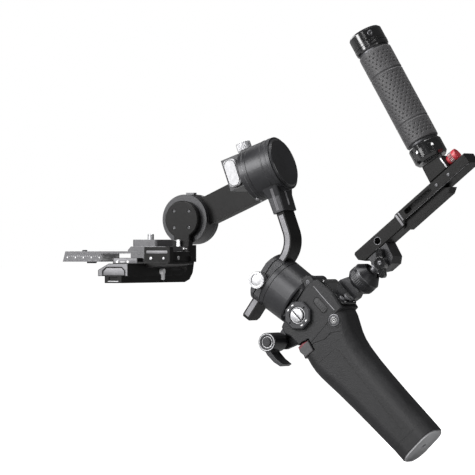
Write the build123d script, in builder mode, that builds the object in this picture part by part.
from build123d import *
import math
import os

# Handheld three-axis camera gimbal with folding grip and bolted-on sling handle.
# +X is forward (lens direction), +Y left, +Z up. Millimetres.
# Origin: seat of the camera screw on top of the quick-release riser plate.

os.makedirs("parts", exist_ok=True)

# ---------------------------------------------------------------- driving sizes
# motors
MOTOR_RADIUS = 27.5        # pan and roll motor housings
TILT_RADIUS = 25.5         # tilt motor housing
SHAFT_RADIUS = 4.95
BEARING_BORE = 5.0         # radius
HUB_INNER, HUB_OUTER = 7.0, 8.0        # bearing tube radii
MAGNET_INNER, MAGNET_OUTER = 20.0, 23.8
COIL_OUTER = 19.2
BAY_RADIUS = 25.0          # stator bay of the pan and roll motors
BAY_MOUTH_RADIUS = 24.9
BAND_OUTER, BAND_INNER, BAND_WIDTH = 30.0, 26.9, 0.8    # groove round a housing
# arms
BAR_WIDTH, BAR_THICK = 24.0, 8.0           # pan arm flat bar
ROLL_ARM_HEIGHT, ROLL_ARM_THICK = 28.0, 14.0
CAMERA_ARM_WIDTH = 19.0
# grip
HEAD_HALF = 19.6           # half width of the grip head
WALL = 2.6                 # shell wall
# sling
SLING_Y = -28.0            # centre plane of the sling handle
SLING_HALF = 11.5          # half width of the sling arm
HANDLE_RADIUS = 17.2
HANDLE_LENGTH = 147.0
# shared
QUARTER_INCH_RADIUS = 3.175    # camera screw and tripod thread, 1/4-20 UNC
GAP = 0.15                 # clearance between neighbours that move on each other
SCREW_RADIUS = 2.5         # clamp knob screws
SCREW_HOLE = 2.55          # their holes, also the fold pin's bore in the pan housing
THROUGH = 60.0             # cut long enough to pass through any part

# ---------------------------------------------------------------- frames
LEFT_DIR, RIGHT_DIR = (0, 1, 0), (0, -1, 0)
FORWARD_DIR, BACK_DIR = (1, 0, 0), (-1, 0, 0)

ROLL_TILT = math.radians(20)
ROLL_ORIGIN = (4.0, 0.0, 20.5)              # tilt axis meets roll axis here
TILT_X, TILT_Z = ROLL_ORIGIN[0], ROLL_ORIGIN[2]
ROLL_DIR = (math.cos(ROLL_TILT), 0.0, -math.sin(ROLL_TILT))    # roll axis, forward
ROLL_UP = (math.sin(ROLL_TILT), 0.0, math.cos(ROLL_TILT))      # square to it, upward

PAN_SEAM = (-144.0, 0.0, -43.5)             # centre of the pan motor seam
PAN_DIR = (0.81915, 0.0, 0.57358)           # pan axis, away from the grip
PAN_BAR_DIR = (-0.57358, 0.0, 0.81915)      # along the pan arm bar

HEAD_CENTRE = (-177.2, 0.0, -75.0)          # centre of the port plate on the grip head
GRIP_DOWN = (-0.69966, 0.0, -0.71448)       # down the grip
GRIP_UP = (0.69966, 0.0, 0.71448)
GRIP_FRONT = (0.71448, 0.0, -0.69966)       # front (trigger side) of the grip
GRIP_REAR = (-0.71448, 0.0, 0.69966)

SLING_HOLE = (-245.7, SLING_Y, -1.5)        # hole near the lower end of the sling arm
SLING_DIR = (-0.7804, 0.0, 0.62527)         # along the sling arm, back and up
SLING_UP = (0.62527, 0.0, 0.7804)           # square to the sling arm, upward
HANDLE_BASE = (-300.5, SLING_Y, 78.5)       # bottom of the sling handle
HANDLE_DIR = (0.51006, 0.0, 0.86014)        # sling handle axis
BALL_CENTRE = (-228.5, SLING_Y, -36.5)      # centre of the sling ball joint

ROLL_AXIS = Axis(ROLL_ORIGIN, ROLL_DIR)
ROLL_UP_AXIS = Axis(ROLL_ORIGIN, ROLL_UP)
PAN_AXIS = Axis(PAN_SEAM, PAN_DIR)
PAN_BAR_AXIS = Axis(PAN_SEAM, PAN_BAR_DIR)
REAR_AXIS = Axis(HEAD_CENTRE, GRIP_REAR)


def along(point, *steps):
    """Move a point by (direction, distance) steps."""
    x, y, z = point
    for direction, distance in steps:
        x += direction[0] * distance
        y += direction[1] * distance
        z += direction[2] * distance
    return (x, y, z)


def cross_plane(point, y, normal):
    """Plane at a point's X and Z and a given y: local x is Y."""
    return Plane(origin=(point[0], y, point[2]), x_dir=LEFT_DIR, z_dir=normal)


def roll_plane(forward, up=0.0, y=0.0):
    """Square to the roll axis: local y is ROLL_UP, normal ROLL_DIR."""
    return cross_plane(along(ROLL_ORIGIN, (ROLL_DIR, forward), (ROLL_UP, up)), y, ROLL_DIR)


def roll_side(y):
    """Side plane of the roll frame: local axes ROLL_DIR and ROLL_UP, normal -Y."""
    return Plane(origin=(TILT_X, y, TILT_Z), x_dir=ROLL_DIR, z_dir=RIGHT_DIR)


def roll_top(up, forward=0.0, y=0.0):
    """Square to ROLL_UP: local y is backward along the roll axis, normal ROLL_UP."""
    return cross_plane(along(ROLL_ORIGIN, (ROLL_DIR, forward), (ROLL_UP, up)), y, ROLL_UP)


def pan_plane(height, y=0.0):
    """Square to the pan axis: local y is PAN_BAR_DIR, normal PAN_DIR."""
    return cross_plane(along(PAN_SEAM, (PAN_DIR, height)), y, PAN_DIR)


def pan_side(y):
    """Side plane of the pan frame: local axes PAN_DIR and PAN_BAR_DIR, normal -Y."""
    return Plane(origin=(PAN_SEAM[0], y, PAN_SEAM[2]), x_dir=PAN_DIR, z_dir=RIGHT_DIR)


def grip_plane(down, rear=0.0):
    """Square to the grip axis: local x is Y, local y is rearward, normal up the grip."""
    return cross_plane(
        along(HEAD_CENTRE, (GRIP_DOWN, down), (GRIP_FRONT, -rear)), 0.0, GRIP_UP)


def grip_side(y):
    """Side plane of the grip: local x is down, local y is rearward, normal +Y."""
    return Plane(origin=(HEAD_CENTRE[0], y, HEAD_CENTRE[2]), x_dir=GRIP_DOWN, z_dir=LEFT_DIR)


def grip_rear(rear, down=0.0, y=0.0):
    """Square to the rear face: local x is Y, local y is down, normal rearward."""
    return cross_plane(
        along(HEAD_CENTRE, (GRIP_DOWN, down), (GRIP_FRONT, -rear)), y, GRIP_REAR)


def head_side(y, x_dir=FORWARD_DIR):
    """Side plane at the head centre, turned to x_dir, normal +Y."""
    return Plane(origin=(HEAD_CENTRE[0], y, HEAD_CENTRE[2]), x_dir=x_dir, z_dir=LEFT_DIR)


def side(y, x=0.0, z=0.0):
    """Side plane: local x is X, local y is Z, normal -Y."""
    return Plane(origin=(x, y, z), x_dir=FORWARD_DIR, z_dir=RIGHT_DIR)


def level(z, x=0.0, y=0.0):
    """Level plane: local x is X, local y is Y, normal +Z."""
    return Plane(origin=(x, y, z), x_dir=FORWARD_DIR, z_dir=(0, 0, 1))


def sling_side(y):
    """Side plane of the sling arm: local axes SLING_DIR and SLING_UP, normal +Y."""
    return Plane(origin=(SLING_HOLE[0], y, SLING_HOLE[2]), x_dir=SLING_DIR, z_dir=LEFT_DIR)


def ball_plane(distance):
    """Square to the ball stem: local x is Y, normal SLING_DIR."""
    return Plane(
        origin=along(BALL_CENTRE, (SLING_DIR, distance)), x_dir=LEFT_DIR, z_dir=SLING_DIR)


def handle_plane(height):
    """Square to the sling handle: local x is Y, normal along the handle."""
    return Plane(
        origin=along(HANDLE_BASE, (HANDLE_DIR, height)), x_dir=LEFT_DIR, z_dir=HANDLE_DIR)


# ---------------------------------------------------------------- shared helpers
def save(builder, name):
    """Label a finished piece and write its STEP file."""
    builder.part.label = name
    export_step(builder.part, f"parts/{name}.step")


def end_edges(builder, axis, end=-1):
    """Edges of the last (or, with end=0, first) face along an axis."""
    return builder.faces().sort_by(axis)[end].edges()


def chamfer_both_sides(builder, length):
    """Chamfer the left face of the part being built, then the right."""
    for end in (-1, 0):
        chamfer(end_edges(builder, Axis.Y, end), length=length)


def knurled_disc(radius, groove_ring, groove_count, groove_radius):
    """Draw a disc with grooves round its rim in the current sketch."""
    Circle(radius)
    with PolarLocations(groove_ring, groove_count):
        Circle(groove_radius, mode=Mode.SUBTRACT)


def stator_core(plane, radius, slot_ring, slot_length, slot_width, depth):
    """Ring of windings round the bearing tube, with twelve radial slots."""
    with BuildPart() as core:
        with BuildSketch(plane):
            Circle(radius)
            Circle(HUB_OUTER, mode=Mode.SUBTRACT)
            with PolarLocations(slot_ring, 12):
                Rectangle(slot_length, slot_width, mode=Mode.SUBTRACT)
        extrude(amount=depth)
    return core


def bearing_pair(planes, width):
    """Two plain bearing rings inside the bearing tube."""
    with BuildPart() as bearings:
        for plane in planes:
            with BuildSketch(plane):
                Circle(HUB_INNER)
                Circle(BEARING_BORE, mode=Mode.SUBTRACT)
            extrude(amount=width)
    return bearings


def lock_slide(plane, width, length, height):
    """Small rectangular lock slide on the outside of a motor."""
    with BuildPart() as slide:
        with BuildSketch(plane):
            Rectangle(width, length)
        extrude(amount=height)
    return slide


def flip_lever(hub_plane, hub_radius, tab_plane, tab_length,
               screw_plane, screw_radius, screw_length):
    """Round hub with a rounded tab across it and a clamp screw behind."""
    with BuildPart() as lever:
        with BuildSketch(hub_plane):
            Circle(hub_radius)
        extrude(amount=4.0)
        with BuildSketch(tab_plane):
            RectangleRounded(3.2, tab_length, 1.4)
        extrude(amount=2.6)
        with BuildSketch(screw_plane):
            Circle(screw_radius)
        extrude(amount=screw_length)
    return lever


# ================================================================ grip
# Stations down the handle: (down, rear edge, front edge, width, corner radius)
GRIP_STATIONS = [
    (24.0, 38.2, -23.4, 38.6, 9.0),
    (34.0, 35.8, -26.0, 38.5, 10.0),
    (42.0, 32.4, -28.2, 38.3, 11.0),
    (50.0, 29.0, -29.5, 38.1, 12.0),
    (58.0, 26.8, -29.6, 38.0, 13.0),
    (68.0, 25.4, -29.0, 38.0, 14.0),
    (84.0, 24.4, -27.6, 38.0, 15.0),
    (104.0, 23.8, -26.0, 38.2, 15.0),
    (128.0, 23.6, -24.4, 38.5, 15.0),
    (166.0, 24.0, -22.2, 38.8, 15.0),
]

# Grip side outlines: (down, rearward)
HEAD_OUTLINE = [
    (-15.6, 24.0), (-15.4, 34.0), (-12.0, 38.8), (10.0, 41.6), (27.0, 38.8), (30.0, -24.0),
    (19.0, -21.5), (8.0, -22.0), (1.5, -24.4), (-5.6, -22.6), (-7.2, -18.6),
]
HINGE_EAR_ROOT = [(-18.0, 23.2), (-18.0, 33.6), (-12.0, 35.4), (-12.0, 23.2)]
LEVER_EAR_OUTLINE = [
    (12.0, -20.0), (8.0, -34.0), (2.6, -47.0), (-3.0, -51.4), (-9.5, -50.2),
    (-12.4, -44.0), (-9.5, -37.6), (-3.0, -33.0), (0.5, -24.0), (2.0, -16.0),
]
TRIGGER_NOTCH = [
    (20.4, -46.0), (20.4, -16.9), (23.3, -8.5), (36.3, -11.4), (35.1, -21.5), (34.9, -46.0),
]
SEAM_GROOVE = [
    (31.2, -24.0), (31.2, -8.0), (37.0, 3.0), (37.0, 12.0), (45.0, 22.0), (45.0, 24.0),
    (44.0, 24.0), (36.0, 13.0), (36.0, 3.4), (30.4, -7.4), (30.4, -24.0),
]
SEAM_DEPTH = 0.9

# Places on the grip side: (down, rearward)
FOLD = (-18.3, 28.4)           # fold hinge at the top rear edge of the head
FOLD_RADIUS = 6.2
POWER_CENTRE = (30.0, 24.0)
PORT_CENTRE = (9.0, 23.8)
LEVER_CENTRE = (-5.1, -43.8)   # pivot of the fold lock lever

POWER_BORE = 4.6
PORT_LENGTH, PORT_WIDTH = 18.0, 7.4

PANEL_DOWN = 7.5               # centre of the glossy rear panel
PANEL_WIDTH, PANEL_HEIGHT, PANEL_CORNER = 31.0, 34.0, 3.0
CONTROL_OFFSET = 10.0          # joystick and buttons, below the panel centre
CONTROL_DOWN = PANEL_DOWN + CONTROL_OFFSET
BUTTON_Y = 10.0                # record button to the left, mode button to the right

# outside of the handle
with BuildPart() as handle_form:
    for down, rear, front, width, corner in GRIP_STATIONS:
        with BuildSketch(grip_plane(down, (rear + front) / 2)):
            RectangleRounded(width, rear - front, corner)
    loft(ruled=True)

# inside of the handle, run past the last station so that it opens the end
with BuildPart() as cavity_form:
    for down, rear, front, width, corner in GRIP_STATIONS[1:]:
        with BuildSketch(grip_plane(down + (0.5 if down > 160 else 0), (rear + front) / 2)):
            RectangleRounded(width - 2 * WALL, rear - front - 2 * WALL, corner - WALL)
    loft(ruled=True)

with BuildPart() as head_form:
    with BuildSketch(grip_side(-HEAD_HALF)):
        with BuildLine():
            Polyline(*HEAD_OUTLINE, close=True)
        make_face()
    extrude(amount=2 * HEAD_HALF)
    chamfer_both_sides(head_form, 1.4)

with BuildPart() as grip_form:
    add(handle_form.part)
    add(head_form.part)
    # two ears of the fold hinge
    for ear_y in (-16.2, 8.1):
        with BuildSketch(grip_side(ear_y)):
            with Locations(FOLD):
                Circle(FOLD_RADIUS)
            with BuildLine():
                Polyline(*HINGE_EAR_ROOT, close=True)
            make_face()
        extrude(amount=8.1)
    # clearance for the pan housing's knuckle between the ears
    with BuildSketch(grip_side(-8.0)):
        with Locations(FOLD):
            Circle(FOLD_RADIUS + 0.4)
    extrude(amount=16.0, mode=Mode.SUBTRACT)
    # hinge pin bore
    with BuildSketch(grip_side(-THROUGH / 2)):
        with Locations(FOLD):
            Circle(2.5)
    extrude(amount=THROUGH, mode=Mode.SUBTRACT)
    # ear of the lock lever on the right, with its pivot bore
    with BuildSketch(grip_side(-19.4)):
        with BuildLine():
            Polyline(*LEVER_EAR_OUTLINE, close=True)
        make_face()
    extrude(amount=6.8)
    with BuildSketch(grip_side(-30.0)):
        with Locations(LEVER_CENTRE):
            Circle(3.0)
    extrude(amount=30.0, mode=Mode.SUBTRACT)
    add(cavity_form.part, mode=Mode.SUBTRACT)
    # window for the rear panel, with the electronics bay behind it
    with BuildSketch(grip_rear(44.0, PANEL_DOWN)):
        RectangleRounded(PANEL_WIDTH, PANEL_HEIGHT, PANEL_CORNER)
    extrude(amount=-13.0, mode=Mode.SUBTRACT)
    # stepped power button seat on the left face: (depth, radius)
    for depth, radius in ((6.0, POWER_BORE), (1.0, 6.6)):
        with BuildSketch(grip_side(HEAD_HALF - depth)):
            with Locations(POWER_CENTRE):
                Circle(radius)
        extrude(amount=10.0, mode=Mode.SUBTRACT)
    # port recess on the left face
    with BuildSketch(grip_side(HEAD_HALF - 3.0)):
        with Locations(PORT_CENTRE):
            SlotOverall(PORT_LENGTH, PORT_WIDTH)
    extrude(amount=10.0, mode=Mode.SUBTRACT)
    # trigger notch through the front edge, open to both sides
    with BuildSketch(grip_side(-THROUGH / 2)):
        with BuildLine():
            Polyline(*TRIGGER_NOTCH, close=True)
        make_face()
    extrude(amount=THROUGH, mode=Mode.SUBTRACT)
    # grooves for the overmould seam, left and right
    for outward in (1, -1):
        with BuildSketch(grip_side(outward * (HEAD_HALF - SEAM_DEPTH))):
            with BuildLine():
                Polyline(*SEAM_GROOVE, close=True)
            make_face()
        extrude(amount=outward * 3.0, mode=Mode.SUBTRACT)

# the two shells, named by where they lie
for kept_half in (Keep.BOTTOM, Keep.TOP):
    with BuildPart() as shell:
        add(grip_form.part)
        split(bisect_by=Plane.XZ, keep=kept_half)
    save(shell, "grip_shell_left" if shell.part.center().Y > 0 else "grip_shell_right")

# bottom cap of the grip with a round opening for the metal insert's boss
END_REAR = 0.9             # centre of the grip end, rearward
with BuildPart() as grip_end_cap:
    with BuildSketch(grip_plane(166.1, END_REAR)):
        RectangleRounded(38.8, 46.2, 15.0)
    extrude(amount=-12.2)
    with BuildSketch(grip_plane(160.0, END_REAR)):
        Circle(11.0)
    extrude(amount=-30.0, mode=Mode.SUBTRACT)
save(grip_end_cap, "grip_end_cap")

# metal foot: thin base plate with a threaded boss for a mini tripod
with BuildPart() as base_insert:
    with BuildSketch(grip_plane(178.35, END_REAR)):
        RectangleRounded(36.4, 43.8, 14.0)
    extrude(amount=-1.65)
    with BuildSketch(grip_plane(168.4, END_REAR)):
        Circle(10.95)
    extrude(amount=-10.0)
    with BuildSketch(grip_plane(170.0, END_REAR)):
        Circle(QUARTER_INCH_RADIUS)
    extrude(amount=-20.0, mode=Mode.SUBTRACT)
save(base_insert, "base_insert")

# two 18650 cells, one behind the other, each with a raised terminal on top
CELL_TOP = 90.0
with BuildPart() as battery_cells:
    for cell_rear in (9.6, -10.2):
        with BuildSketch(grip_plane(CELL_TOP, cell_rear)):
            Circle(9.15)
        extrude(amount=-65.0)
        with BuildSketch(grip_plane(CELL_TOP, cell_rear)):
            Circle(2.8)
        extrude(amount=1.2)
save(battery_cells, "battery_cells")

# control board lying across the grip above the cells, chips on its upper face
BOARD_DOWN, BOARD_REAR, BOARD_THICK = 70.0, 2.0, 1.6
with BuildPart() as main_board:
    with BuildSketch(grip_plane(BOARD_DOWN, BOARD_REAR)):
        Rectangle(26.0, 34.0)
    extrude(amount=BOARD_THICK)
    with BuildSketch(grip_plane(BOARD_DOWN - BOARD_THICK, BOARD_REAR)):
        with Locations((0, 6.0)):
            Rectangle(9.0, 9.0)
        with Locations((7.0, -8.0), (-7.0, -8.0)):
            Rectangle(6.0, 5.0)
    extrude(amount=1.4)
save(main_board, "main_board")

# glossy panel on the rear of the head, with holes for the joystick and two buttons
with BuildPart() as display_panel:
    with BuildSketch(grip_rear(40.3, PANEL_DOWN)):
        RectangleRounded(PANEL_WIDTH - 0.3, PANEL_HEIGHT - 0.3, PANEL_CORNER - 0.1)
    extrude(amount=1.9)
    with BuildSketch(grip_rear(39.0, PANEL_DOWN)):
        with Locations((0, CONTROL_OFFSET)):
            Circle(4.6)
        with Locations((-BUTTON_Y, CONTROL_OFFSET), (BUTTON_Y, CONTROL_OFFSET)):
            Circle(3.0)
    extrude(amount=6.0, mode=Mode.SUBTRACT)
    # shallow screen recess
    with BuildSketch(grip_rear(41.8, 3.0)):
        RectangleRounded(24.0, 16.0, 1.0)
    extrude(amount=2.0, mode=Mode.SUBTRACT)
    chamfer(display_panel.faces().sort_by(REAR_AXIS)[-1].outer_wire().edges(), length=0.6)
save(display_panel, "display_panel")

# round thumb joystick, cap over a stalk
STALK_FOOT, STALK_LENGTH = 37.0, 6.2
with BuildPart() as joystick:
    with BuildSketch(grip_rear(STALK_FOOT, CONTROL_DOWN)):
        Circle(2.0)
    extrude(amount=STALK_LENGTH)
    with BuildSketch(grip_rear(STALK_FOOT + STALK_LENGTH, CONTROL_DOWN)):
        Circle(4.2)
    extrude(amount=1.8)
    fillet(end_edges(joystick, REAR_AXIS), radius=0.8)
save(joystick, "joystick")

# round buttons either side of the joystick
for button_name, button_y in (("mode_button", -BUTTON_Y), ("record_button", BUTTON_Y)):
    with BuildPart() as button:
        with BuildSketch(grip_rear(38.4, CONTROL_DOWN, button_y)):
            Circle(2.85)
        extrude(amount=4.9)
        fillet(end_edges(button, REAR_AXIS), radius=0.5)
    save(button, button_name)

# front trigger, wide curved pad that fills the notch and shows on both sides
TRIGGER_HALF = 18.3
TRIGGER_OUTLINE = [        # (down, rearward)
    (21.5, -17.2), (24.0, -10.8), (35.6, -13.7), (34.6, -21.5),
    (34.4, -26.2), (31.0, -24.9), (26.0, -25.6), (21.2, -23.6),
]
with BuildPart() as trigger:
    with BuildSketch(grip_side(-TRIGGER_HALF)):
        with BuildLine():
            Polyline(*TRIGGER_OUTLINE, close=True)
        make_face()
    extrude(amount=2 * TRIGGER_HALF)
    chamfer_both_sides(trigger, 0.9)
save(trigger, "trigger")

# power button: round cap sunk in its seat on the left face
with BuildPart() as power_button:
    with BuildSketch(grip_side(HEAD_HALF - 5.2)):
        with Locations(POWER_CENTRE):
            Circle(POWER_BORE - GAP)
    extrude(amount=5.4)
    chamfer(end_edges(power_button, Axis.Y), length=0.4)
save(power_button, "power_button")

# rubber port flap
with BuildPart() as port_cover:
    with BuildSketch(grip_side(HEAD_HALF - 2.8)):
        with Locations(PORT_CENTRE):
            SlotOverall(PORT_LENGTH - 2 * GAP, PORT_WIDTH - 2 * GAP)
    extrude(amount=3.5)
    chamfer(end_edges(port_cover, Axis.Y), length=0.5)
save(port_cover, "port_cover")

# fold hinge pin
FOLD_PIN_HALF = 16.0
with BuildPart() as fold_pin:
    with BuildSketch(grip_side(-FOLD_PIN_HALF)):
        with Locations(FOLD):
            Circle(2.48)
    extrude(amount=2 * FOLD_PIN_HALF)
save(fold_pin, "fold_pin")

# left accessory port: octagonal plate, recessed for the cover screw
with BuildPart() as port_plate:
    with BuildSketch(head_side(HEAD_HALF + 0.05)):
        RegularPolygon(radius=13.8, side_count=8, major_radius=False, rotation=22.5)
    extrude(amount=4.7)
    chamfer(end_edges(port_plate, Axis.Y), length=1.2)
    with BuildSketch(head_side(HEAD_HALF + 2.6)):
        Circle(8.6)
    extrude(amount=6.0, mode=Mode.SUBTRACT)
    # two small blind holes
    with BuildSketch(head_side(HEAD_HALF + 3.4)):
        with PolarLocations(10.9, 2, start_angle=45):
            Circle(1.1)
    extrude(amount=6.0, mode=Mode.SUBTRACT)
save(port_plate, "port_plate")

# slotted cover screw
with BuildPart() as port_screw:
    with BuildSketch(grip_side(HEAD_HALF + 2.65)):
        Circle(6.75)
    extrude(amount=3.0)
    chamfer(end_edges(port_screw, Axis.Y), length=0.5)
    with BuildSketch(head_side(HEAD_HALF + 4.6, (0.707, 0, -0.707))):
        Rectangle(16.0, 1.4)
    extrude(amount=3.0, mode=Mode.SUBTRACT)
save(port_screw, "port_screw")

# fold lock: cam lever with a thumb blade, turning on the link's pin
LEVER_BLADE = [            # (down, rearward)
    (-6.0, -50.5), (4.0, -52.6), (14.0, -52.4), (22.0, -50.2),
    (22.6, -46.6), (14.0, -48.0), (5.0, -47.8), (-2.0, -44.0),
]
with BuildPart() as lock_lever:
    with BuildSketch(grip_side(-4.0)):
        with Locations(LEVER_CENTRE):
            Circle(9.5)
    extrude(amount=26.0)
    with BuildSketch(grip_side(1.0)):
        with BuildLine():
            Polyline(*LEVER_BLADE, close=True)
        make_face()
    extrude(amount=20.0)
    chamfer(end_edges(lock_lever, Axis.Y), length=0.8)
    # ring groove in the left face
    with BuildSketch(grip_side(20.6)):
        with Locations(LEVER_CENTRE):
            Circle(6.2)
            Circle(3.6, mode=Mode.SUBTRACT)
    extrude(amount=4.0, mode=Mode.SUBTRACT)
    # blind pin bore from the right
    with BuildSketch(grip_side(-6.0)):
        with Locations(LEVER_CENTRE):
            Circle(3.02)
    extrude(amount=16.0, mode=Mode.SUBTRACT)
save(lock_lever, "lock_lever")

# link reaching to the pan motor's notch: flat strut, rounded head, pivot pin
LINK_STRUT = [(-9.5, -41.5), (-13.8, -20.6), (-8.4, -18.8), (-3.4, -40.0)]   # (down, rearward)
with BuildPart() as lock_link:
    with BuildSketch(grip_side(-12.3)):
        with Locations(LEVER_CENTRE):
            Circle(6.0)
        with BuildLine():
            Polyline(*LINK_STRUT, close=True)
        make_face()
        with Locations((-11.0, -19.6)):
            Circle(3.2)
    extrude(amount=8.0)
    with BuildSketch(grip_side(-19.2)):
        with Locations(LEVER_CENTRE):
            Circle(2.97)
    extrude(amount=29.0)
save(lock_link, "lock_link")

# ================================================================ pan motor and pan arm
# fold hinge in the pan frame: height along the axis, distance along the bar
HINGE_HEIGHT, HINGE_BAR = -32.53, 24.52
KNUCKLE_RADIUS = 6.2
KNUCKLE_HALF = 7.8
KNUCKLE_TOP = -24.0            # the knuckle's web runs up to here
PAN_BAY_FLOOR = -25.5

# housing taper: (height, radius)
PAN_STATIONS = [(-34.0, 24.6), (-29.0, 26.9), (-0.2, MOTOR_RADIUS)]
KNUCKLE_WEB = [                # (height, along bar)
    (HINGE_HEIGHT, HINGE_BAR - KNUCKLE_RADIUS), (HINGE_HEIGHT, HINGE_BAR + 2.0),
    (KNUCKLE_TOP, HINGE_BAR + 2.0), (KNUCKLE_TOP, HINGE_BAR - KNUCKLE_RADIUS),
]
LINK_NOTCH = [(-60.0, -40.0), (-27.2, -40.0), (-27.2, -20.2), (-60.0, -20.2)]

with BuildPart() as pan_housing:
    for height, radius in PAN_STATIONS:
        with BuildSketch(pan_plane(height)):
            Circle(radius)
    loft(ruled=True)
    # cutaways at the bottom edge, left and right, clear of the octagonal port plate
    for cutaway_y in (24.5, -24.5):
        with BuildSketch(pan_plane(-40.0, cutaway_y)):
            Rectangle(10.2, 60.0)
        extrude(amount=9.4, mode=Mode.SUBTRACT)
    # clearance for the grip's two hinge ears, then the knuckle between them
    with BuildSketch(pan_side(16.5)):
        with Locations((HINGE_HEIGHT, HINGE_BAR)):
            Circle(KNUCKLE_RADIUS + 0.4)
    extrude(amount=33.0, mode=Mode.SUBTRACT)
    with BuildSketch(pan_side(KNUCKLE_HALF)):
        with Locations((HINGE_HEIGHT, HINGE_BAR)):
            Circle(KNUCKLE_RADIUS)
        with BuildLine():
            Polyline(*KNUCKLE_WEB, close=True)
        make_face()
    extrude(amount=2 * KNUCKLE_HALF)
    # inside: stator bay round the bearing tube, bay mouth, tube bore
    with BuildSketch(pan_plane(PAN_BAY_FLOOR)):
        Circle(BAY_RADIUS)
        Circle(HUB_OUTER, mode=Mode.SUBTRACT)
    extrude(amount=30.0, mode=Mode.SUBTRACT)
    with BuildSketch(pan_plane(-3.0)):
        Circle(BAY_MOUTH_RADIUS)
    extrude(amount=10.0, mode=Mode.SUBTRACT)
    with BuildSketch(pan_plane(PAN_BAY_FLOOR)):
        Circle(HUB_INNER)
    extrude(amount=40.0, mode=Mode.SUBTRACT)
    # hinge pin bore
    with BuildSketch(pan_side(THROUGH / 2)):
        with Locations((HINGE_HEIGHT, HINGE_BAR)):
            Circle(SCREW_HOLE)
    extrude(amount=THROUGH, mode=Mode.SUBTRACT)
    # notch for the lock link's head, open toward the grip and the front
    with BuildSketch(pan_side(-3.6)):
        with BuildLine():
            Polyline(*LINK_NOTCH, close=True)
        make_face()
    extrude(amount=9.4, mode=Mode.SUBTRACT)
    # shallow band groove
    with BuildSketch(pan_plane(-5.2)):
        Circle(BAND_OUTER)
        Circle(BAND_INNER, mode=Mode.SUBTRACT)
    extrude(amount=BAND_WIDTH, mode=Mode.SUBTRACT)
save(pan_housing, "pan_housing")

save(stator_core(pan_plane(-24.0), COIL_OUTER, slot_ring=15.4, slot_length=6.4,
                 slot_width=2.2, depth=16.0), "pan_core")
save(bearing_pair([pan_plane(-25.4), pan_plane(-8.4)], width=5.0), "pan_bearings")

# rotor: shaft, magnet skirt, and the clamp block with the channel for the pan arm
PAN_ROTOR_BASE = 0.3
PAN_ARM_CENTRE = 5.75          # centre of the arm above the seam
PAN_KNOB = (9.5, -2.8)         # clamp knob: height above the seam, along the bar
with BuildPart() as pan_rotor:
    with BuildSketch(pan_plane(PAN_ROTOR_BASE)):
        Circle(MOTOR_RADIUS)
    extrude(amount=13.9)
    chamfer(end_edges(pan_rotor, PAN_AXIS), length=2.2)
    with BuildSketch(pan_plane(PAN_ROTOR_BASE)):
        Circle(MAGNET_OUTER)
        Circle(MAGNET_INNER, mode=Mode.SUBTRACT)
    extrude(amount=-22.0)
    with BuildSketch(pan_plane(PAN_ROTOR_BASE)):
        Circle(SHAFT_RADIUS)
    extrude(amount=-25.2)
    # flats on the left and right of the channel
    with BuildSketch(pan_plane(0.9)):
        with Locations((26.0, 0)):
            Rectangle(10.8, 60.0)
        with Locations((-26.6, 0)):
            Rectangle(10.8, 60.0)
    extrude(amount=20.0, mode=Mode.SUBTRACT)
    # channel
    with BuildSketch(pan_plane(PAN_ARM_CENTRE - BAR_THICK / 2 - GAP)):
        Rectangle(BAR_WIDTH + 2 * GAP, 80.0)
    extrude(amount=BAR_THICK + 2 * GAP, mode=Mode.SUBTRACT)
    # clamp slit and screw hole toward the left side
    with BuildSketch(pan_plane(7.9)):
        with Locations((16.0, 0)):
            Rectangle(10.0, 80.0)
    extrude(amount=0.9, mode=Mode.SUBTRACT)
    with BuildSketch(pan_side(30.0)):
        with Locations(PAN_KNOB):
            Circle(SCREW_HOLE)
    extrude(amount=17.6, mode=Mode.SUBTRACT)
save(pan_rotor, "pan_rotor")

# knurled clamp knob on the left, dished outer face, screw pointing inward
with BuildPart() as pan_knob:
    with BuildSketch(pan_side(30.0)):
        with Locations(PAN_KNOB):
            knurled_disc(8.4, groove_ring=8.75, groove_count=18, groove_radius=0.75)
    extrude(amount=8.8)
    with BuildSketch(pan_side(30.5)):
        with Locations(PAN_KNOB):
            Circle(5.8)
    extrude(amount=1.4, mode=Mode.SUBTRACT)
    with BuildSketch(pan_side(21.3)):
        with Locations(PAN_KNOB):
            Circle(SCREW_RADIUS)
    extrude(amount=8.6)
save(pan_knob, "pan_knob")

# flat bar with a bend below the roll motor
BAR_TAIL = (-112.5, -78.5)     # X and Z of the lower end
BAR_STRAIGHT = 74.524          # from the tail to the bend
with BuildPart() as pan_arm:
    with BuildLine(side(0)) as arm_path:
        lower = Line(BAR_TAIL, (BAR_TAIL[0] + BAR_STRAIGHT * PAN_BAR_DIR[0],
                                BAR_TAIL[1] + BAR_STRAIGHT * PAN_BAR_DIR[2]))
        knee = JernArc(start=lower @ 1, tangent=lower % 1, radius=28.0, arc_size=-55.0)
        Line(knee @ 1, knee @ 1 + (knee % 1) * 35.5)
    with BuildSketch(Plane(origin=(BAR_TAIL[0], 0, BAR_TAIL[1]), x_dir=LEFT_DIR,
                           z_dir=PAN_BAR_DIR)):
        Rectangle(BAR_WIDTH, BAR_THICK)
    sweep(path=arm_path.line, transition=Transition.RIGHT)
    # clip the corners of the lower end: its short edges only
    tail_edges = end_edges(pan_arm, PAN_BAR_AXIS, 0)
    chamfer(tail_edges.filter_by(lambda edge: edge.length < BAR_THICK + 1), length=3.0)
save(pan_arm, "pan_arm")

# on the right side of the pan housing
save(lock_slide(pan_plane(-17.0, -28.8), 2.2, 9.0, 6.0), "pan_lock")

# ================================================================ roll motor and roll arm
NECK_FORWARD = -148.6          # neck centre along the roll axis
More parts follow.
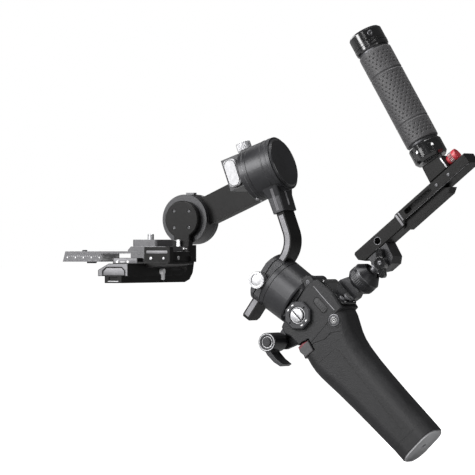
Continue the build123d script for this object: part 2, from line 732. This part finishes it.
# neck sections: (up, width, depth)
NECK_STATIONS = [(-47.0, 28.0, 13.6), (-31.0, 29.0, 14.4), (-16.0, 40.0, 19.0)]
ROLL_BACK = -161.4             # back face of the housing
with BuildPart() as roll_housing:
    with BuildSketch(roll_plane(ROLL_BACK)):
        Circle(MOTOR_RADIUS)
    extrude(amount=26.2)
    # neck down to the pan arm
    for up, width, depth in NECK_STATIONS:
        with BuildSketch(roll_top(up, NECK_FORWARD)):
            RectangleRounded(width, depth, 2.0)
    loft(ruled=True)
    # stator bay round the bearing tube, tube bore and bay mouth, open to the front
    with BuildSketch(roll_plane(-157.4)):
        Circle(BAY_RADIUS)
        Circle(HUB_OUTER, mode=Mode.SUBTRACT)
    extrude(amount=30.0, mode=Mode.SUBTRACT)
    with BuildSketch(roll_plane(-157.5)):
        Circle(HUB_INNER)
    extrude(amount=40.0, mode=Mode.SUBTRACT)
    with BuildSketch(roll_plane(-138.2)):
        Circle(BAY_MOUTH_RADIUS)
    extrude(amount=10.0, mode=Mode.SUBTRACT)
    # socket for the pan arm
    with BuildSketch(roll_top(-47.5, NECK_FORWARD)):
        Rectangle(BAR_WIDTH + 0.1, BAR_THICK + 0.1)
    extrude(amount=19.0, mode=Mode.SUBTRACT)
    # shallow band groove
    with BuildSketch(roll_plane(-158.6)):
        Circle(BAND_OUTER)
        Circle(BAND_INNER, mode=Mode.SUBTRACT)
    extrude(amount=BAND_WIDTH, mode=Mode.SUBTRACT)
save(roll_housing, "roll_housing")

# stepped back cover
COVER_FRONT, COVER_STEP = ROLL_BACK - 0.05, 1.2
with BuildPart() as roll_cover:
    with BuildSketch(roll_plane(COVER_FRONT)):
        Circle(MOTOR_RADIUS)
    extrude(amount=-COVER_STEP)
    with BuildSketch(roll_plane(COVER_FRONT - COVER_STEP)):
        Circle(25.6)
    extrude(amount=-2.2)
    chamfer(end_edges(roll_cover, ROLL_AXIS, 0), length=1.4)
save(roll_cover, "roll_cover")

save(stator_core(roll_plane(-154.6), COIL_OUTER, slot_ring=15.4, slot_length=6.4,
                 slot_width=2.2, depth=13.0), "roll_core")
save(bearing_pair([roll_plane(-156.6), roll_plane(-142.4)], width=4.5), "roll_bearings")

# rotor: front disc, magnet skirt, shaft, and the sleeve clamp for the roll arm
ROLL_ARM_FORWARD, ROLL_ARM_UP = -115.0, 7.0    # centre of the arm section
ROLL_KNOB_Y = -27.0
ROLL_ROTOR_BACK = -134.9
with BuildPart() as roll_rotor:
    with BuildSketch(roll_plane(ROLL_ROTOR_BACK)):
        Circle(MOTOR_RADIUS)
    extrude(amount=9.6)
    chamfer(end_edges(roll_rotor, ROLL_AXIS), length=1.6)
    with BuildSketch(roll_plane(ROLL_ROTOR_BACK)):
        Circle(MAGNET_OUTER)
        Circle(MAGNET_INNER, mode=Mode.SUBTRACT)
    extrude(amount=-19.0)
    with BuildSketch(roll_plane(ROLL_ROTOR_BACK)):
        Circle(SHAFT_RADIUS)
    extrude(amount=-21.5)
    # sleeve block, and the boss under the knob
    with BuildSketch(roll_plane(-125.4, ROLL_ARM_UP, -10.0)):
        Rectangle(50.0, ROLL_ARM_HEIGHT + 4.4)
    extrude(amount=19.8)
    with BuildSketch(roll_plane(-121.0, ROLL_ARM_UP + 16.0, ROLL_KNOB_Y)):
        RectangleRounded(17.0, 13.0, 2.0)
    extrude(amount=12.0)
    # opening for the arm
    with BuildSketch(roll_side(30.0)):
        with Locations((ROLL_ARM_FORWARD, ROLL_ARM_UP)):
            RectangleRounded(ROLL_ARM_THICK + 2 * GAP, ROLL_ARM_HEIGHT + 2 * GAP, 5.0)
    extrude(amount=80.0, mode=Mode.SUBTRACT)
    # screw hole under the knob
    with BuildSketch(roll_top(20.0, ROLL_ARM_FORWARD, ROLL_KNOB_Y)):
        Circle(SCREW_HOLE)
    extrude(amount=12.0, mode=Mode.SUBTRACT)
save(roll_rotor, "roll_rotor")

# knurled clamp knob on top of the sleeve
with BuildPart() as roll_knob:
    with BuildSketch(roll_top(30.0, ROLL_ARM_FORWARD, ROLL_KNOB_Y)):
        knurled_disc(7.3, groove_ring=7.6, groove_count=18, groove_radius=0.65)
    extrude(amount=9.6)
    rim_arcs = end_edges(roll_knob, ROLL_UP_AXIS).filter_by(GeomType.CIRCLE)
    chamfer(rim_arcs.sort_by(SortBy.RADIUS)[-1:], length=0.2)
    with BuildSketch(roll_top(30.0, ROLL_ARM_FORWARD, ROLL_KNOB_Y)):
        Circle(SCREW_RADIUS)
    extrude(amount=-8.5)
save(roll_knob, "roll_knob")

# on the right of the rotor rim
save(lock_slide(roll_plane(-133.0, 0.0, -28.6), 2.0, 9.0, 6.0), "roll_lock")

# roll arm: side-to-side bar, rounded corner, forward section to the tilt motor
ROLL_ARM_END = 16.0            # y of the free end
ROLL_ARM_CORNER = 4.6
FORWARD_SECTION = [            # (forward, up)
    (-122.0, -7.0), (-122.0, 21.0), (-60.0, 18.4), (-14.0, 15.0), (-14.0, -14.0), (-60.0, -11.4),
]
with BuildPart() as roll_arm:
    with BuildSketch(roll_side(ROLL_ARM_END)):
        with Locations((ROLL_ARM_FORWARD, ROLL_ARM_UP)):
            RectangleRounded(ROLL_ARM_THICK, ROLL_ARM_HEIGHT, ROLL_ARM_CORNER)
    extrude(amount=118.0)
    with BuildSketch(roll_side(-88.4)):
        with BuildLine():
            Polyline(*FORWARD_SECTION, close=True)
        make_face()
    extrude(amount=13.6)
    fillet(roll_arm.edges().filter_by(ROLL_UP_AXIS).sort_by(ROLL_AXIS)[0:2], radius=3.0)
    # seat for the round tilt motor
    with BuildSketch(side(-60.0, TILT_X, TILT_Z)):
        Circle(TILT_RADIUS + 0.02)
    extrude(amount=60.0, mode=Mode.SUBTRACT)
save(roll_arm, "roll_arm")

# flat cap closing the free (left) end of the roll arm
with BuildPart() as roll_arm_cap:
    with BuildSketch(roll_side(ROLL_ARM_END + 0.05)):
        with Locations((ROLL_ARM_FORWARD, ROLL_ARM_UP)):
            RectangleRounded(ROLL_ARM_THICK, ROLL_ARM_HEIGHT, ROLL_ARM_CORNER)
    extrude(amount=-3.0)
    chamfer(end_edges(roll_arm_cap, Axis.Y), length=0.8)
save(roll_arm_cap, "roll_arm_cap")

# ================================================================ tilt motor
def tilt_plane(y):
    """Square to the tilt axis and centred on it, normal -Y."""
    return side(y, TILT_X, TILT_Z)


with BuildPart() as tilt_housing:
    with BuildSketch(tilt_plane(-84.4)):
        Circle(TILT_RADIUS)
    extrude(amount=22.0)
    # stator bay round the bearing tube, tube bore, bay mouth on the left
    with BuildSketch(tilt_plane(-84.0)):
        Circle(23.2)
        Circle(HUB_OUTER, mode=Mode.SUBTRACT)
    extrude(amount=19.4, mode=Mode.SUBTRACT)
    with BuildSketch(tilt_plane(-80.0)):
        Circle(HUB_INNER)
    extrude(amount=23.6, mode=Mode.SUBTRACT)
    with BuildSketch(tilt_plane(-80.0)):
        Circle(23.1)
    extrude(amount=7.0, mode=Mode.SUBTRACT)
save(tilt_housing, "tilt_housing")

# right-hand cover with a shallow round recess
with BuildPart() as tilt_cover:
    with BuildSketch(tilt_plane(-106.45)):
        Circle(TILT_RADIUS)
    extrude(amount=2.6)
    chamfer(end_edges(tilt_cover, Axis.Y, 0), length=1.6)
    with BuildSketch(tilt_plane(-108.55)):
        Circle(19.0)
    extrude(amount=2.0, mode=Mode.SUBTRACT)
save(tilt_cover, "tilt_cover")

save(stator_core(tilt_plane(-89.0), 17.6, slot_ring=14.2, slot_length=5.6,
                 slot_width=2.0, depth=12.0), "tilt_core")
save(bearing_pair([tilt_plane(-87.4), tilt_plane(-98.6)], width=4.5), "tilt_bearings")

# rotor: disc, magnet skirt and shaft
TILT_DISC_Y, TILT_DISC_THICK = -80.2, 3.9
with BuildPart() as tilt_rotor:
    with BuildSketch(tilt_plane(TILT_DISC_Y)):
        Circle(TILT_RADIUS)
    extrude(amount=TILT_DISC_THICK)
    with BuildSketch(tilt_plane(TILT_DISC_Y - TILT_DISC_THICK)):
        Circle(22.2)
        Circle(18.6, mode=Mode.SUBTRACT)
    extrude(amount=17.0)
    with BuildSketch(tilt_plane(TILT_DISC_Y - TILT_DISC_THICK)):
        Circle(SHAFT_RADIUS)
    extrude(amount=19.5)
save(tilt_rotor, "tilt_rotor")

# upright fixed to the tilt rotor
UPRIGHT_X = 3.5                # centre of the upright and camera arm
UPRIGHT_Y = -73.0              # left face of the upright
UPRIGHT_WIDTH, UPRIGHT_THICK = 18.0, 7.15
with BuildPart() as tilt_arm:
    with BuildSketch(tilt_plane(UPRIGHT_Y)):
        Circle(19.0)
    extrude(amount=UPRIGHT_THICK)
    with BuildSketch(side(UPRIGHT_Y)):
        with Locations((UPRIGHT_X, -1.2)):
            Rectangle(UPRIGHT_WIDTH, 43.2)
    extrude(amount=UPRIGHT_THICK)
    chamfer(end_edges(tilt_arm, Axis.Y), length=1.0)
    # four blind holes in the left face
    with BuildSketch(tilt_plane(-70.0)):
        with PolarLocations(12.0, 4, start_angle=45):
            Circle(1.9)
    extrude(amount=5.0, mode=Mode.SUBTRACT)
save(tilt_arm, "tilt_arm")

# on top of the tilt housing
save(lock_slide(level(TILT_Z + TILT_RADIUS + 0.15, TILT_X, -95.0), 9.0, 6.0, 1.8), "tilt_lock")

# ================================================================ camera arm and plates
ARM_OUTER_Y, ARM_END_Y = -82.4, 73.0
CLAMP_BOTTOM = -22.9           # the clamp block stands on the arm here
CLAMP_X = UPRIGHT_X - 0.2
CAMERA_ARM_PROFILE = [         # (Y, Z)
    (-66.5, CLAMP_BOTTOM), (-66.5, -29.0), (-60.0, -36.0), (ARM_END_Y, -36.0), (ARM_END_Y, -43.5),
    (-62.0, -43.5), (-72.5, -40.6), (-79.4, -33.8), (ARM_OUTER_Y, CLAMP_BOTTOM),
]
# dovetail rail: (X, Z)
RAIL_BACK, RAIL_FRONT = -8.0, 16.7
RAIL_TOP = -28.0
RAIL_PROFILE = [
    (RAIL_BACK, -36.0), (RAIL_BACK, -31.5), (-4.6, RAIL_TOP),
    (12.6, RAIL_TOP), (RAIL_FRONT, -31.5), (RAIL_FRONT, -36.0),
]
HEIGHT_LEVER = (1.8, -11.0)    # X and Z of the upright clamp's screw
with BuildPart() as camera_arm:
    with BuildSketch(Plane(origin=(UPRIGHT_X - CAMERA_ARM_WIDTH / 2, 0, 0),
                           x_dir=LEFT_DIR, z_dir=FORWARD_DIR)):
        with BuildLine():
            Polyline(*CAMERA_ARM_PROFILE, close=True)
        make_face()
    extrude(amount=CAMERA_ARM_WIDTH)
    # dovetail rail on top of the bar
    with BuildSketch(side(69.8)):
        with BuildLine():
            Polyline(*RAIL_PROFILE, close=True)
        make_face()
    extrude(amount=128.0)
    # clamp block round the upright, with a raised band on its left
    with BuildSketch(level(CLAMP_BOTTOM - 0.05, UPRIGHT_X, 0)):
        with Locations((-0.2, (ARM_OUTER_Y - 66.0) / 2)):
            RectangleRounded(25.0, -66.0 - ARM_OUTER_Y, 2.0)
    extrude(amount=17.3)
    with BuildSketch(level(-10.0, CLAMP_X, -69.5)):
        RectangleRounded(25.0, 6.6, 1.4)
    extrude(amount=9.0)
    with BuildSketch(level(CLAMP_BOTTOM, UPRIGHT_X, UPRIGHT_Y - UPRIGHT_THICK / 2)):
        Rectangle(UPRIGHT_WIDTH + 2 * GAP, UPRIGHT_THICK + 2 * GAP)
    extrude(amount=40.0, mode=Mode.SUBTRACT)
    # recess in the free end
    with BuildSketch(side(80.0)):
        with Locations((UPRIGHT_X, -39.8)):
            Rectangle(10.0, 4.6)
    extrude(amount=8.2, mode=Mode.SUBTRACT)
    # screw hole for the clamp lever
    with BuildSketch(side(-60.0)):
        with Locations(HEIGHT_LEVER):
            Circle(2.05)
    extrude(amount=11.0, mode=Mode.SUBTRACT)
save(camera_arm, "camera_arm")

# flip lever of the upright clamp
save(flip_lever(
    hub_plane=side(-61.8, *HEIGHT_LEVER), hub_radius=3.6,
    tab_plane=side(-61.8, HEIGHT_LEVER[0], -6.4), tab_length=12.4,
    screw_plane=side(-65.0, *HEIGHT_LEVER), screw_radius=2.0, screw_length=5.5,
), "height_lever")

# carriage sliding along the rail, with jaws for the long plate
CARRIAGE_PROFILE = [           # (X, Z)
    (-11.6, -36.6), (-11.6, -24.0), (10.0, -24.0), (22.3, -30.5), (22.3, -36.6),
]
TABLE_PROFILE = [              # (X, Z)
    (-36.0, -24.6), (-36.0, -22.7), (27.2, -22.7), (27.2, -24.6), (17.0, -28.4), (-11.0, -28.4),
]
RAIL_GROOVE = [                # (X, Z), the rail with clearance, open below
    (RAIL_BACK - GAP, -40.0), (RAIL_BACK - GAP, -31.44), (-4.67, RAIL_TOP + GAP),
    (12.67, RAIL_TOP + GAP), (RAIL_FRONT + GAP, -31.44), (RAIL_FRONT + GAP, -40.0),
]
# jaws: (centre x, centre y, length, width, height)
JAWS = [
    (13.1, 24.8, 28.2, 10.4, 5.9),      # front left, low
    (-21.5, 23.4, 29.0, 7.6, 16.9),     # rear left, tall
    (-4.4, -21.8, 63.2, 4.4, 7.6),      # right
]
CARRIAGE_LEVER_Y, CARRIAGE_LEVER_Z = 1.0, -32.2
with BuildPart() as carriage:
    with BuildSketch(side(70.0)):
        with BuildLine():
            Polyline(*CARRIAGE_PROFILE, close=True)
        make_face()
    extrude(amount=92.0)
    with BuildSketch(side(30.0)):
        with BuildLine():
            Polyline(*TABLE_PROFILE, close=True)
        make_face()
    extrude(amount=54.0)
    for x, y, length, width, height in JAWS:
        with BuildSketch(level(-24.4)):
            with Locations((x, y)):
                Rectangle(length, width)
        extrude(amount=height)
    # groove for the rail
    with BuildSketch(side(90.0)):
        with BuildLine():
            Polyline(*RAIL_GROOVE, close=True)
        make_face()
    extrude(amount=130.0, mode=Mode.SUBTRACT)
    # screw hole for the lever
    with BuildSketch(Plane(origin=(-12.0, CARRIAGE_LEVER_Y, CARRIAGE_LEVER_Z),
                           x_dir=LEFT_DIR, z_dir=FORWARD_DIR)):
        Circle(1.55)
    extrude(amount=5.0, mode=Mode.SUBTRACT)
save(carriage, "carriage")


def carriage_lever_plane(x, z, normal):
    """Plane square to X on the carriage lever's centre plane: local x is Y."""
    return Plane(origin=(x, CARRIAGE_LEVER_Y, z), x_dir=LEFT_DIR, z_dir=normal)


# flip lever on the back of the carriage
save(flip_lever(
    hub_plane=carriage_lever_plane(-11.75, CARRIAGE_LEVER_Z, BACK_DIR), hub_radius=3.0,
    tab_plane=carriage_lever_plane(-13.2, -35.0, BACK_DIR), tab_length=11.0,
    screw_plane=carriage_lever_plane(-11.75, CARRIAGE_LEVER_Z, FORWARD_DIR),
    screw_radius=1.5, screw_length=2.6,
), "carriage_lever")

# long plate: solid nose and tail joined by a thin web
PLATE_HALF = 19.0
SCREW_HEAD_BORE = 8.2
PLATE_PROFILE = [              # (X, Z)
    (-34.0, -22.5), (-34.0, -12.0), (88.2, -12.0), (91.2, -22.5),
    (46.5, -22.5), (46.5, -13.8), (12.8, -13.8), (12.8, -22.5),
]
with BuildPart() as long_plate:
    with BuildSketch(side(PLATE_HALF)):
        with BuildLine():
            Polyline(*PLATE_PROFILE, close=True)
        make_face()
    extrude(amount=2 * PLATE_HALF)
    # lens support slot in the nose
    with BuildSketch(level(-30.0)):
        with Locations((68.0, 0)):
            SlotOverall(34.0, 6.8)
    extrude(amount=30.0, mode=Mode.SUBTRACT)
    # bore for the camera screw
    with BuildSketch(level(-30.0)):
        Circle(SCREW_HEAD_BORE)
    extrude(amount=30.0, mode=Mode.SUBTRACT)
save(long_plate, "long_plate")

# quick-release riser: base chamfered at the front, pad on top
RISER_HALF = 18.9
RISER_PROFILE = [              # (X, Z)
    (16.1, -11.95), (16.1, -10.4), (12.6, -7.0), (-26.7, -7.0), (-26.7, -11.95),
]
with BuildPart() as riser_plate:
    with BuildSketch(side(RISER_HALF)):
        with BuildLine():
            Polyline(*RISER_PROFILE, close=True)
        make_face()
    extrude(amount=2 * RISER_HALF)
    with BuildSketch(level(-7.2, -2.4)):
        RectangleRounded(28.2, 36.0, 3.0)
    extrude(amount=7.1)
    # clearance hole for the screw, wider below for its head
    with BuildSketch(level(-20.0)):
        Circle(3.35)
    extrude(amount=30.0, mode=Mode.SUBTRACT)
    with BuildSketch(level(-13.0)):
        Circle(SCREW_HEAD_BORE)
    extrude(amount=5.4, mode=Mode.SUBTRACT)
save(riser_plate, "riser_plate")

# 1/4-20 camera screw: head slotted from below, plain neck, threaded end
HEAD_TOP, HEAD_THICK = -7.75, 3.0
with BuildPart() as camera_screw:
    with BuildSketch(level(HEAD_TOP)):
        Circle(7.8)
    extrude(amount=-HEAD_THICK)
    with BuildSketch(level(HEAD_TOP)):
        Circle(3.0)
    extrude(amount=7.8)
    with BuildSketch(level(-0.2)):
        Circle(QUARTER_INCH_RADIUS)
    extrude(amount=5.7)
    chamfer(end_edges(camera_screw, Axis.Z), length=0.5)
    with BuildSketch(level(HEAD_TOP - HEAD_THICK)):
        Rectangle(18.0, 1.6)
    extrude(amount=1.4, mode=Mode.SUBTRACT)
save(camera_screw, "camera_screw")

# ================================================================ sling handle
# bracket bolted to the right side of the grip head
BRACKET_Y = -34.0              # right face of the bracket
BRACKET_OUTLINE = [            # (down, rearward)
    (-5.5, -12.5), (-12.0, -6.0), (-12.0, 6.0), (-8.0, 20.0), (-7.0, 43.0), (-3.0, 51.0),
    (6.0, 52.6), (15.5, 51.0), (18.0, 42.5), (13.5, 20.0), (12.5, 5.0), (12.5, -6.0), (6.0, -12.5),
]
with BuildPart() as sling_bracket:
    with BuildSketch(grip_side(BRACKET_Y)):
        with BuildLine():
            Polyline(*BRACKET_OUTLINE, close=True)
        make_face()
    extrude(amount=-BRACKET_Y - HEAD_HALF - 0.05)
    chamfer(end_edges(sling_bracket, Axis.Y, 0), length=1.5)
    # ring groove marking the mounting screw's head in the outer face
    with BuildSketch(grip_side(-33.0)):
        Circle(4.4)
        Circle(3.6, mode=Mode.SUBTRACT)
    extrude(amount=-3.0, mode=Mode.SUBTRACT)
save(sling_bracket, "sling_bracket")

# ball socket, turned about the stem axis
SOCKET_RADIUS = 10.05
# (distance along the stem, radius)
SOCKET_STATIONS = [(-13.5, 12.0), (-9.5, 15.0), (1.0, 15.0), (8.0, 9.6)]
MOUTH_STATIONS = [(4.0, 7.6), (9.0, 8.8)]
# (down, rearward)
SOCKET_NECK = [
    (-1.0, 50.5), (-4.0, 58.0), (2.0, 64.0), (14.0, 62.0), (17.0, 56.0), (15.0, 50.5),
]
BRACKET_CLEARANCE = [
    (-8.0, 17.0), (-7.0, 43.0), (-3.0, 51.05), (6.0, 52.65),
    (15.5, 51.05), (18.0, 42.5), (13.0, 20.0), (8.0, 15.0),
]
with BuildPart() as ball_socket:
    for distance, radius in SOCKET_STATIONS:
        with BuildSketch(ball_plane(distance)):
            Circle(radius)
    loft(ruled=True)
    with Locations(ball_plane(0.0)):
        Sphere(SOCKET_RADIUS, mode=Mode.SUBTRACT)
    for distance, radius in MOUTH_STATIONS:
        with BuildSketch(ball_plane(distance)):
            Circle(radius)
    loft(ruled=True, mode=Mode.SUBTRACT)
    # neck to the bracket; the ball's room is cut again where the neck fills it
    with BuildSketch(grip_side(BRACKET_Y)):
        with BuildLine():
            Polyline(*SOCKET_NECK, close=True)
        make_face()
    extrude(amount=12.0)
    with Locations(ball_plane(0.0)):
        Sphere(SOCKET_RADIUS, mode=Mode.SUBTRACT)
    # trim where the socket would run into the bracket
    with BuildSketch(grip_side(-36.0)):
        with BuildLine():
            Polyline(*BRACKET_CLEARANCE, close=True)
        make_face()
    extrude(amount=20.0, mode=Mode.SUBTRACT)
save(ball_socket, "ball_socket")

# ball with its stem and a flange
with BuildPart() as ball_stud:
    with Locations(ball_plane(0.0)):
        Sphere(10.0)
    with BuildSketch(ball_plane(0.0)):
        Circle(4.6)
    extrude(amount=21.0)
    with BuildSketch(ball_plane(13.5)):
        Circle(7.5)
    extrude(amount=2.5)
save(ball_stud, "ball_stud")

# clamp block under the arm, bored for the stem and for the wing knob's screw
CLAMP_HALF = 11.0
WING = (-8.7, -21.0)           # knob centre: along the arm, upward
CLAMP_OUTLINE = [              # (along the arm, upward)
    (-18.9, -7.1), (-18.9, -24.5), (-14.0, -27.0), (-2.0, -27.0), (3.5, -22.0), (6.0, -7.1),
]
with BuildPart() as sling_clamp:
    with BuildSketch(sling_side(SLING_Y - CLAMP_HALF)):
        with BuildLine():
            Polyline(*CLAMP_OUTLINE, close=True)
        make_face()
    extrude(amount=2 * CLAMP_HALF)
    with BuildSketch(ball_plane(10.0)):
        Circle(4.65)
    extrude(amount=11.1, mode=Mode.SUBTRACT)
    with BuildSketch(sling_side(0.0)):
        with Locations(WING):
            Circle(SCREW_HOLE)
    extrude(amount=-28.0, mode=Mode.SUBTRACT)
save(sling_clamp, "sling_clamp")

# wing knob on the left of the clamp
WING_Y = SLING_Y + CLAMP_HALF + 0.2
with BuildPart() as wing_knob:
    with BuildSketch(sling_side(WING_Y)):
        with Locations(WING):
            Circle(6.2)
    extrude(amount=8.6)
    with BuildSketch(sling_side(WING_Y + 2.2)):
        with Locations(Location(WING, 60.0)):
            SlotOverall(30.0, 6.4)
    extrude(amount=5.6)
    with BuildSketch(sling_side(WING_Y)):
        with Locations(WING):
            Circle(SCREW_RADIUS)
    extrude(amount=-9.0)
save(wing_knob, "wing_knob")

# long arm of the sling: stepped bar with a slot, a hole and an accessory rail below
ARM_FAR = 127.0
ARM_TOP = 8.7
RAIL_HALF = 8.0
SLING_ARM_OUTLINE = [          # (along the arm, upward)
    (-23.0, -6.9), (-28.6, -1.0), (-28.6, 5.4), (-27.0, 6.9), (28.0, 6.9), (31.0, ARM_TOP),
    (ARM_FAR, ARM_TOP), (ARM_FAR, -2.8), (36.0, -2.8), (32.0, -6.9),
]
ACCESSORY_RAIL = [             # (along the arm, upward)
    (34.0, -2.9), (34.0, -6.2), (29.0, -7.6), (31.0, -10.4),
    (88.0, -10.4), (94.0, -7.0), (90.0, -5.0), (88.0, -2.9),
]
with BuildPart() as sling_arm:
    with BuildSketch(sling_side(SLING_Y - SLING_HALF)):
        with BuildLine():
            Polyline(*SLING_ARM_OUTLINE, close=True)
        make_face()
    extrude(amount=2 * SLING_HALF)
    chamfer(end_edges(sling_arm, Axis.Y), length=0.9)
    with BuildSketch(sling_side(SLING_Y - RAIL_HALF)):
        with BuildLine():
            Polyline(*ACCESSORY_RAIL, close=True)
        make_face()
    extrude(amount=2 * RAIL_HALF)
    # through hole and long slot
    with BuildSketch(sling_side(0.0)):
        Circle(3.3)
    extrude(amount=-THROUGH, mode=Mode.SUBTRACT)
    with BuildSketch(sling_side(0.0)):
        with Locations((59.0, 3.0)):
            SlotOverall(36.6, 5.2)
    extrude(amount=-THROUGH, mode=Mode.SUBTRACT)
save(sling_arm, "sling_arm")


def post_plane(distance):
    """Square to the sling arm on the post knob's axis: local x is Y."""
    return Plane(origin=along(SLING_HOLE, (SLING_DIR, distance), (SLING_UP, 15.5)),
                 x_dir=LEFT_DIR, z_dir=SLING_DIR)


# post standing on the arm under the handle
POST_HALF = 10.5
POST_FOOT = ARM_TOP + 0.05
POST_OUTLINE = [               # (along the arm, upward)
    (79.6, POST_FOOT), (82.2, 25.0), (83.0, 27.2),
    (104.5, 24.2), (106.0, 22.0), (106.0, POST_FOOT),
]
with BuildPart() as handle_post:
    with BuildSketch(sling_side(SLING_Y - POST_HALF)):
        with BuildLine():
            Polyline(*POST_OUTLINE, close=True)
        make_face()
    extrude(amount=2 * POST_HALF)
    chamfer_both_sides(handle_post, 1.2)
    with BuildSketch(post_plane(110.0)):
        Circle(SCREW_HOLE)
    extrude(amount=-14.0, mode=Mode.SUBTRACT)
save(handle_post, "handle_post")

# knurled knob on the rear of the post: collar, knob, screw
with BuildPart() as post_knob:
    with BuildSketch(post_plane(106.2)):
        Circle(5.2)
    extrude(amount=3.4)
    with BuildSketch(post_plane(109.0)):
        knurled_disc(6.4, groove_ring=6.8, groove_count=14, groove_radius=0.7)
    extrude(amount=9.0)
    with BuildSketch(post_plane(106.3)):
        Circle(SCREW_RADIUS)
    extrude(amount=-9.5)
save(post_knob, "post_knob")

# metal core of the handle, with a flange at each end of the sleeve
CORE_RADIUS = 11.0
with BuildPart() as handle_core:
    # (start height, radius, length)
    for height, radius, length in ((0.2, CORE_RADIUS, 130.0), (18.6, 15.6, 2.2),
                                   (124.4, 15.6, 2.2)):
        with BuildSketch(handle_plane(height)):
            Circle(radius)
        extrude(amount=length)
save(handle_core, "handle_core")

# lock collar
COLLAR_STATIONS = [(0.4, 15.4), (3.0, 17.4), (16.6, 17.4), (18.2, 16.2)]    # (height, radius)
with BuildPart() as handle_collar:
    for height, radius in COLLAR_STATIONS:
        with BuildSketch(handle_plane(height)):
            Circle(radius)
    loft(ruled=True)
    with BuildSketch(handle_plane(0.0)):
        Circle(CORE_RADIUS + 0.08)
    extrude(amount=20.0, mode=Mode.SUBTRACT)
    # shallow finger notches
    with BuildSketch(handle_plane(4.6)):
        with PolarLocations(18.4, 10):
            RectangleRounded(3.2, 5.0, 1.0)
    extrude(amount=8.6, mode=Mode.SUBTRACT)
save(handle_collar, "handle_collar")

# soft sleeve with one band groove
with BuildPart() as handle_sleeve:
    with BuildSketch(handle_plane(20.85)):
        Circle(HANDLE_RADIUS)
        Circle(CORE_RADIUS, mode=Mode.SUBTRACT)
    extrude(amount=103.5)
    with BuildSketch(handle_plane(98.0)):
        Circle(20.0)
        Circle(16.5, mode=Mode.SUBTRACT)
    extrude(amount=1.4, mode=Mode.SUBTRACT)
save(handle_sleeve, "handle_sleeve")

# end cap
CAP_STATIONS = [(126.7, 16.6), (128.0, 17.3), (145.0, 17.3), (HANDLE_LENGTH, 15.6)]
with BuildPart() as handle_cap:
    for height, radius in CAP_STATIONS:
        with BuildSketch(handle_plane(height)):
            Circle(radius)
    loft(ruled=True)
    # socket for the core, and a round hole in the top
    with BuildSketch(handle_plane(120.0)):
        Circle(CORE_RADIUS + 0.02)
    extrude(amount=10.25, mode=Mode.SUBTRACT)
    with BuildSketch(handle_plane(140.0)):
        Circle(5.0)
    extrude(amount=20.0, mode=Mode.SUBTRACT)
    # fine band grooves
    for height in (131.4, 134.2):
        with BuildSketch(handle_plane(height)):
            Circle(20.0)
            Circle(16.8, mode=Mode.SUBTRACT)
        extrude(amount=0.7, mode=Mode.SUBTRACT)
save(handle_cap, "handle_cap")
